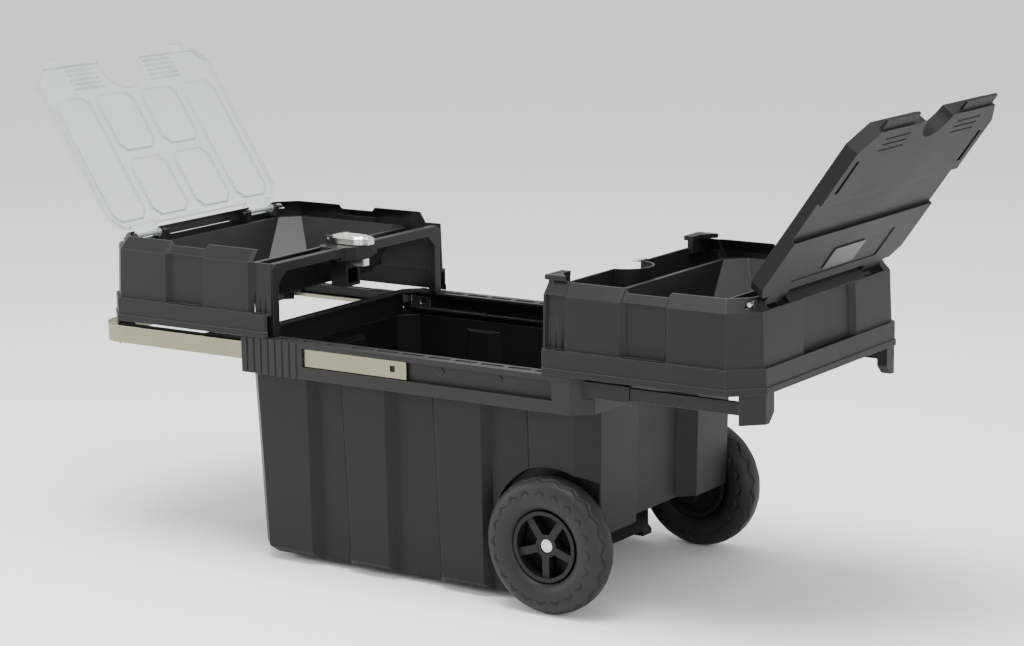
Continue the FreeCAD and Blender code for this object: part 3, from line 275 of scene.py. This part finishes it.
def clear_finish():
    """Clear moulding: mostly see-through, faintly green, hazier in clouds and fine scuffs, with its edges
    made more solid as painted edge shade.
    """
    material = bpy.data.materials.new("clear_plastic")
    material.use_nodes = True
    tree = material.node_tree
    shader = tree.nodes["Principled BSDF"]
    shader.inputs["IOR"].default_value = 1.49
    grainy = tree.nodes.new("ShaderNodeGroup")
    grainy.node_tree = GRAIN
    grainy.inputs["Grain"].default_value = 500.0
    grainy.inputs["Cloud"].default_value = 30.0
    edge = tree.nodes.new("ShaderNodeGroup")
    edge.node_tree = EDGE
    edge.inputs["Amount"].default_value = 7.0
    edge.inputs["Radius"].default_value = 0.0026
    tint = tree.nodes.new("ShaderNodeMix")
    tint.data_type = "RGBA"
    tint.inputs[6].default_value = (0.27, 0.31, 0.30, 1.0)
    tint.inputs[7].default_value = (0.50, 0.56, 0.55, 1.0)
    tree.links.new(grainy.outputs["Cloud"], tint.inputs[0])
    tree.links.new(tint.outputs[2], shader.inputs["Base Color"])
    haze = maths(tree, "MULTIPLY", grainy.outputs["Cloud"], 0.10)
    # More opaque grey on the edges: painted shade for the dark outlines along the panel edges.
    solid = maths(tree, "ADD", maths(tree, "MULTIPLY", edge.outputs["Mask"], 0.85), 0.12)
    tree.links.new(maths(tree, "ADD", haze, solid, clamp=True), shader.inputs["Alpha"])
    tree.links.new(maths(tree, "ADD", haze, 0.06), shader.inputs["Roughness"])
    bump = tree.nodes.new("ShaderNodeBump")
    bump.inputs["Strength"].default_value = 0.3
    bump.inputs["Distance"].default_value = 0.00005
    tree.links.new(grainy.outputs["Height"], bump.inputs["Height"])
    tree.links.new(edge.outputs["Normal"], bump.inputs["Normal"])
    tree.links.new(bump.outputs["Normal"], shader.inputs["Normal"])
    return material


clear_plastic = clear_finish()
dress(clear_plastic, "clear_lid")
PIN_X = 0.498               # the lids' pins, from the middle and from the floor
PIN_Z = 0.4215
LID_TOP = 0.0058            # top face above the pins, lids shut
CLEAR_TURN = math.radians(123.7)
BLACK_TURN = math.radians(126.0)
BEAD_SIDES = 12


def lid_place(points, turn, end):
    """Points drawn on the shut +X lid, turned back about its pin by the open angle; end -1
    mirrors them to the other tray."""
    x = points[..., 0] - PIN_X
    z = points[..., 2] - PIN_Z
    turned_x = x * math.cos(turn) + z * math.sin(turn)
    turned_z = z * math.cos(turn) - x * math.sin(turn)
    return np.stack([end * (PIN_X + turned_x), points[..., 1], PIN_Z + turned_z], axis=-1)


def octagon(x0, x1, y0, y1, corner, steps):
    """Closed path round a rectangle with its corners cut: its corner points joined by equal
    numbers of steps, so each row of the path is a straight blend of two corners."""
    corners = np.array([(x0 + corner, y0), (x1 - corner, y0), (x1, y0 + corner), (x1, y1 - corner),
                        (x1 - corner, y1), (x0 + corner, y1), (x0, y1 - corner), (x0, y0 + corner)])
    share = np.linspace(0.0, 1.0, steps, endpoint=False)[None, :, None]
    path = corners[:, None, :] * (1.0 - share) + np.roll(corners, -1, axis=0)[:, None, :] * share
    return path.reshape(-1, 2)


def bead(path, z, radius, flat=0.6):
    """A low bead along a closed flat path: an oval section carried round it, its two radii
    across the path and upwards."""
    ahead = np.roll(path, -1, axis=0) - np.roll(path, 1, axis=0)
    ahead /= np.linalg.norm(ahead, axis=1, keepdims=True)
    across = np.stack([ahead[:, 1], -ahead[:, 0]], axis=1)
    angle = np.linspace(0.0, 2.0 * np.pi, BEAD_SIDES, endpoint=False)[None, :]
    x = path[:, 0:1] + across[:, 0:1] * radius * np.cos(angle)
    y = path[:, 1:2] + across[:, 1:2] * radius * np.cos(angle)
    return np.stack([x, y, z + radius * flat * np.sin(angle) + 0.0 * x], axis=-1)


def ring_mesh(name, grids):
    """A mesh of closed grids that wrap both ways, each with its faces looking outwards."""
    points, quads, start = [], [], 0
    for grid in grids:
        rows, columns = grid.shape[:2]
        index = np.arange(rows * columns).reshape(rows, columns)
        after = np.roll(index, -1, axis=0)
        faces = np.stack([index, np.roll(index, -1, axis=1), np.roll(after, -1, axis=1), after], axis=-1)
        faces = faces.reshape(-1, 4)
        flat_points = grid.reshape(-1, 3)
        corners = flat_points[faces] - flat_points.mean(axis=0)
        normal = np.cross(corners[:, 2] - corners[:, 0], corners[:, 3] - corners[:, 1])
        if (corners.mean(axis=1) * normal).sum() < 0:
            faces = faces[:, ::-1]
        points.append(flat_points)
        quads.append(faces + start)
        start += len(flat_points)
    mesh = bpy.data.meshes.new(name)
    mesh.from_pydata(np.concatenate(points), [], np.concatenate(quads))
    mesh.polygons.foreach_set("use_smooth", np.ones(len(mesh.polygons), dtype=bool))
    return mesh


def add_piece(name, mesh, material, body):
    """Links one finished piece, gives it its finish and lets it ride on its body."""
    piece = bpy.data.objects.new(name, mesh)
    bpy.context.scene.collection.objects.link(piece)
    mesh.materials.append(material)
    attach(piece, body)
    return piece


# Rounded beads stiffen the clear lid round each of its panels and across its grip zones.
CLEAR_TOP = PIN_Z + LID_TOP
PANELS = ((0.274, 0.472, 0.100, 0.168), (0.274, 0.366, 0.010, 0.084), (0.380, 0.472, 0.010, 0.084))
PANEL_CORNER = 0.012
PANEL_BEAD_R = 0.0016
PANEL_BEAD_SINK = 0.0003
GRIP_BEAD_R = 0.0009
GRIP_BEAD_X = 0.228
GRIP_BEAD_W = 0.0025
GRIP_BEAD_STEP = 0.0075
clear_beads = []
for x0, x1, y0, y1 in PANELS:
    for sign in (1.0, -1.0):
        low, high = sorted((sign * y0, sign * y1))
        path = octagon(x0, x1, low, high, PANEL_CORNER, 10)
        clear_beads.append(lid_place(bead(path, CLEAR_TOP - PANEL_BEAD_SINK, PANEL_BEAD_R), CLEAR_TURN, -1.0))
for step in range(5):
    for sign in (1.0, -1.0):
        low, high = sorted((sign * 0.052, sign * 0.112))
        start = GRIP_BEAD_X + step * GRIP_BEAD_STEP
        path = octagon(start, start + GRIP_BEAD_W, low, high, 0.001, 4)
        clear_beads.append(lid_place(bead(path, CLEAR_TOP, GRIP_BEAD_R), CLEAR_TURN, -1.0))
add_piece("clear_lid_beads", ring_mesh("clear_lid_beads", clear_beads), clear_plastic,
          "clear_lid")

# Thumb ridges beside the finger cut-out of the black lid, moulded
# with it.
RIDGE_Y = 0.076
RIDGE_STEP = 0.0135
RIDGE_HALF_W = 0.0030
RIDGE_SINK = 0.0036
RIDGE_R = 0.0022
grip_ridges = []
for step in range(6):
    for sign in (1.0, -1.0):
        y = sign * (RIDGE_Y + step * RIDGE_STEP)
        path = octagon(0.2200, 0.2325, y - RIDGE_HALF_W, y + RIDGE_HALF_W, 0.001, 4)
        grip_ridges.append(lid_place(bead(path, CLEAR_TOP - RIDGE_SINK, RIDGE_R, 0.4), BLACK_TURN, 1.0))
add_piece("black_lid_grips", ring_mesh("black_lid_grips", grip_ridges), lid_plastic,
          "black_lid")
dress(bright_steel, *[end + "_hinge_pin_" + side for end in ("left", "right") for side in ("near", "far")])

# ---------------------------------------------------------------- latch
# Die-cast zinc lever on a steel pin, with a turned key plug in it.  The hook hangs in
# a moulded housing under the left tray's frame, and the keeper is on the right tray.
dress(zinc_cast, "latch_lever", "latch_hook", "latch_keeper")
dress(bright_steel, "latch_pin", "lock_cylinder")
lever_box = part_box("latch_lever")
LEVER_TOP = lever_box[1][2]
lever_x = (lever_box[0][0] + 0.009, lever_box[1][0] - 0.020)
lever_rims = [bead(octagon(lever_x[0], lever_x[1], -0.0115, 0.0115, 0.005, 8), LEVER_TOP, 0.0012, 0.5)]
turn = np.linspace(0.0, 2.0 * np.pi, 40, endpoint=False)
lock_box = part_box("lock_cylinder")
lock_x = (lock_box[0][0] + lock_box[1][0]) / 2
key_ring = np.stack([lock_x + 0.0064 * np.cos(turn), 0.0064 * np.sin(turn)], axis=1)
lever_rims.append(bead(key_ring, LEVER_TOP, 0.0012, 0.6))
add_piece("latch_lever_rims", ring_mesh("latch_lever_rims", lever_rims), zinc_cast,
          "latch_lever")
dress(bin_plastic, "latch_housing")

# ---------------------------------------------------------------- wheels
# Blow-moulded tyres with shallow six-sided tread blocks, on five-spoked moulded hubs.
# They turn on a steel axle held by pressed nuts.
WHEEL_X = 0.2175
WHEEL_Z = 0.089
WHEEL_Y = 0.188
TYRE_R = 0.0890
SEAT_R = 0.0460
TYRE_HALF = 0.0215
TREAD_DEPTH = 0.0024
TREAD_R = 0.0670            # the blocks start here on the side wall
BLOCKS = 20
ROW_PITCH = 0.85            # of a block's length, for even six-sided blocks
AROUND = 440
ACROSS = 96
CROWN_CENTRE = 0.86
CROWN_R = 0.034
TREAD_FADE = 0.005
GROOVE_FROM, GROOVE_TO = 0.03, 0.10


def smooth(value, low, high):
    """0 below low, 1 above high, an S-curve between."""
    step = np.clip((value - low) / (high - low), 0.0, 1.0)
    return step * step * (3.0 - 2.0 * step)


def tyre_surface(around, across):
    """A rounded-square section swept round the axle.  The radius and the width are powers of
    the cosine and the sine of the section's angle.  On the tread, six-sided blocks stand up:
    distance to the nearest point of a staggered grid, compared with the next nearest."""
    turn = np.linspace(0.0, 2.0 * np.pi, around, endpoint=False)[:, None]
    bend = np.linspace(0.0, 2.0 * np.pi, across, endpoint=False)[None, :]
    middle = (TYRE_R + SEAT_R) / 2
    reach = (TYRE_R - SEAT_R) / 2
    power = 2.0 / 2.5
    out = np.sign(np.cos(bend)) * np.abs(np.cos(bend)) ** power
    side = np.sign(np.sin(bend)) * np.abs(np.sin(bend)) ** power
    radius = middle + reach * out + 0.0 * turn
    width = TYRE_HALF * side + 0.0 * turn
    run = np.abs(np.arctan2(width, radius - middle * CROWN_CENTRE)) * CROWN_R
    pitch = 2.0 * np.pi * TYRE_R / BLOCKS
    along = turn * TYRE_R / pitch + 0.0 * bend
    height = run / pitch
    best = np.full(radius.shape, 9.0)
    second = np.full(radius.shape, 9.0)
    for row in range(3):
        shift = 0.5 * (row % 2)
        cell = np.abs((along - shift) - np.round(along - shift))
        gap = np.hypot(cell, height - row * ROW_PITCH)
        second = np.where(gap < best, best, np.minimum(second, gap))
        best = np.minimum(best, gap)
    groove = smooth(second - best, GROOVE_FROM, GROOVE_TO)
    on_tread = smooth(radius, TREAD_R, TREAD_R + TREAD_FADE)
    drop = TREAD_DEPTH * on_tread * (1.0 - groove)
    length = np.hypot(out, side)
    radius = radius - drop * out / length
    width = width - drop * side / length
    return np.stack([radius * np.sin(turn), width, radius * np.cos(turn)], axis=-1)


tyre_plastic = moulded("tyre_plastic", (0.0125, 0.0125, 0.0125, 1.0), (0.03, 0.03, 0.03, 1.0),
                       rough=0.50, grain=900.0, depth=0.00010, wear_and_highlight_strength=1.0)
for side, sign in (("near", -1.0), ("far", 1.0)):
    surface = tyre_surface(AROUND, ACROSS) + np.array([WHEEL_X, sign * WHEEL_Y, WHEEL_Z])
    tyre = add_piece("tyre_tread_" + side, ring_mesh("tyre_tread_" + side, [surface]), tyre_plastic,
                     "wheel_" + side)
    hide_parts("tyre_" + side)
dress(moulded("hub_plastic", CHARCOAL, CHARCOAL_WEAR_AND_HIGHLIGHT, 0.45), "wheel_hub_near", "wheel_hub_far")
dress(bright_steel, "axle", "push_nut_near", "push_nut_far")

# ---------------------------------------------------------------- floor, lights and camera
# A seamless white floor, a large soft light above, a weaker one from the left and the
# weakest from the front right, and a bright plain surround.
FLOOR_HALF = 6.0
FLOOR_DROP = 0.0005
grid_x, grid_y = np.meshgrid([-FLOOR_HALF, FLOOR_HALF], [-FLOOR_HALF, FLOOR_HALF], indexing="ij")
floor_points = np.stack([grid_x, grid_y, np.full((2, 2), -FLOOR_DROP)], axis=-1).reshape(-1, 3)
floor_mesh = bpy.data.meshes.new("floor")
floor_mesh.from_pydata(floor_points, [], [(0, 2, 3, 1)])
floor = bpy.data.objects.new("floor", floor_mesh)
bpy.context.scene.collection.objects.link(floor)
floor_white = bpy.data.materials.new("floor_white")
floor_white.use_nodes = True
floor_shader = floor_white.node_tree.nodes["Principled BSDF"]
floor_shader.inputs["Base Color"].default_value = (0.95, 0.95, 0.95, 1.0)
floor_shader.inputs["Roughness"].default_value = 0.9
floor_mesh.materials.append(floor_white)

world = bpy.data.worlds.new("surround")
world.use_nodes = True
world.node_tree.nodes["Background"].inputs["Color"].default_value = (1.0, 1.0, 1.0, 1.0)
world.node_tree.nodes["Background"].inputs["Strength"].default_value = 1.1
bpy.context.scene.world = world


def soft_light(name, place, aim, size, power):
    """A square area light at place, looking at aim."""
    lamp = bpy.data.lights.new(name, "AREA")
    lamp.size = size
    lamp.energy = power
    holder = bpy.data.objects.new(name, lamp)
    bpy.context.scene.collection.objects.link(holder)
    look = (Vector(aim) - Vector(place)).to_track_quat("-Z", "Y").to_matrix().to_4x4()
    holder.matrix_world = Matrix.Translation(place) @ look


AIM = (0.0, 0.0, 0.3)
soft_light("light_top", (0.2, -0.4, 2.6), AIM, size=1.6, power=120.0)
soft_light("light_left", (-2.8, -2.0, 1.3), AIM, size=1.0, power=60.0)
soft_light("light_front", (2.8, -1.2, 1.0), AIM, size=1.2, power=30.0)

CAMERA_PLACE = (2.06221, -2.95826, 1.03019)
YAW, PITCH, ROLL = math.radians(34.41), math.radians(11.13), math.radians(-0.91)
forward = np.array([-math.sin(YAW) * math.cos(PITCH), math.cos(YAW) * math.cos(PITCH), -math.sin(PITCH)])
level = np.array([math.cos(YAW), math.sin(YAW), 0.0])
upward = np.cross(level, forward)
right = level * math.cos(ROLL) + upward * math.sin(ROLL)
up = upward * math.cos(ROLL) - level * math.sin(ROLL)
eye = bpy.data.objects.new("camera", bpy.data.cameras.new("camera"))
eye.data.sensor_width = 36.0
eye.data.sensor_fit = "HORIZONTAL"
eye.data.lens = 95.79
eye.data.clip_end = 60.0
turned = np.eye(4)
turned[:3, 0], turned[:3, 1], turned[:3, 2], turned[:3, 3] = right, up, -forward, CAMERA_PLACE
eye.matrix_world = Matrix(turned.tolist())
bpy.context.scene.collection.objects.link(eye)
bpy.context.scene.camera = eye
